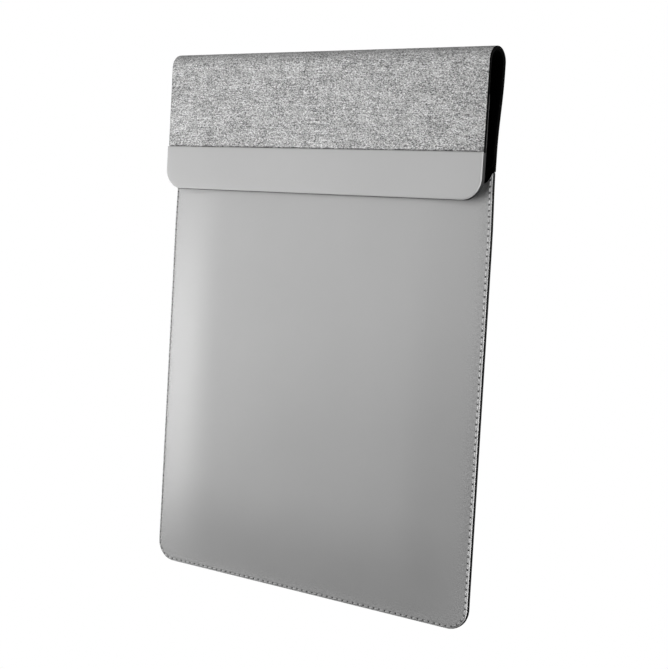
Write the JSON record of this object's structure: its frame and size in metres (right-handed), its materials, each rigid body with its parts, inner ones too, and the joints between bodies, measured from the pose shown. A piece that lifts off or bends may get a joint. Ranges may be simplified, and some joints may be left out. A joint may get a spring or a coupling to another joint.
{
  "type": "laptop sleeve",
  "caption": "Upright padded sleeve for a thin notebook, with a magnetic felt flap folded over its mouth.",
  "frame": {"origin": "centre of the object's box at its lowest level, which is the sewn bottom edge", "axes": "+X across the sleeve to the right seen from the front, +Y from the flap's side to the back, +Z from the bottom edge up to the fold"},
  "size_m": [0.242, 0.0218, 0.3405],
  "materials": {
    "leather": "smooth matte grain",
    "foam": "closed-cell foam",
    "lining": "black brushed lining",
    "facing": "dark grey, matte",
    "board": "fibre board",
    "magnet": "nickel-plated",
    "thread": "polyester sewing thread",
    "felt": "grey melange felt",
    "binding": "black edge finish, satin",
    "trim_leather": "smooth matte"
  },
  "bodies": {
    "sleeve": {"front_leather": "leather", "front_foam": "foam", "front_lining": "lining", "mouth_facing": "facing", "mouth_board": "board", "mouth_magnets": "magnet", "mouth_needle_thread": "thread", "mouth_bobbin_thread": "thread", "back_leather": "leather", "back_foam": "foam", "back_felt": "felt", "back_lining": "lining", "band_thread": "thread", "edge_binding": "binding", "seam_needle_thread": "thread", "seam_bobbin_thread": "thread"},
    "fold_rear": {"fold_felt_rear": "felt", "fold_lining_rear": "lining"},
    "fold_front": {"fold_felt_front": "felt", "fold_lining_front": "lining"},
    "flap": {"flap_felt": "felt", "flap_lining": "lining", "flap_trim": "trim_leather", "flap_facing": "facing", "flap_board": "board", "flap_magnets": "magnet"}
  },
  "joints": [
    {"name": "flap_open", "type": "hinge", "parent": "sleeve", "child": "fold_rear", "pos_m": [0, 0.00694, 0.336], "axis": [-1, 0, 0], "range_deg": [0, 65]},
    {"name": "fold_bend", "type": "hinge", "parent": "fold_rear", "child": "fold_front", "pos_m": [0, -0.00085, 0.3405], "axis": [-1, 0, 0], "range_deg": [0, 65]},
    {"name": "flap_bend", "type": "hinge", "parent": "fold_front", "child": "flap", "pos_m": [0, -0.00864, 0.336], "axis": [-1, 0, 0], "range_deg": [0, 65]}
  ],
  "couplings": [
    {"joint": "fold_bend", "follows": "flap_open", "ratio": 1},
    {"joint": "flap_bend", "follows": "flap_open", "ratio": 1}
  ]
}
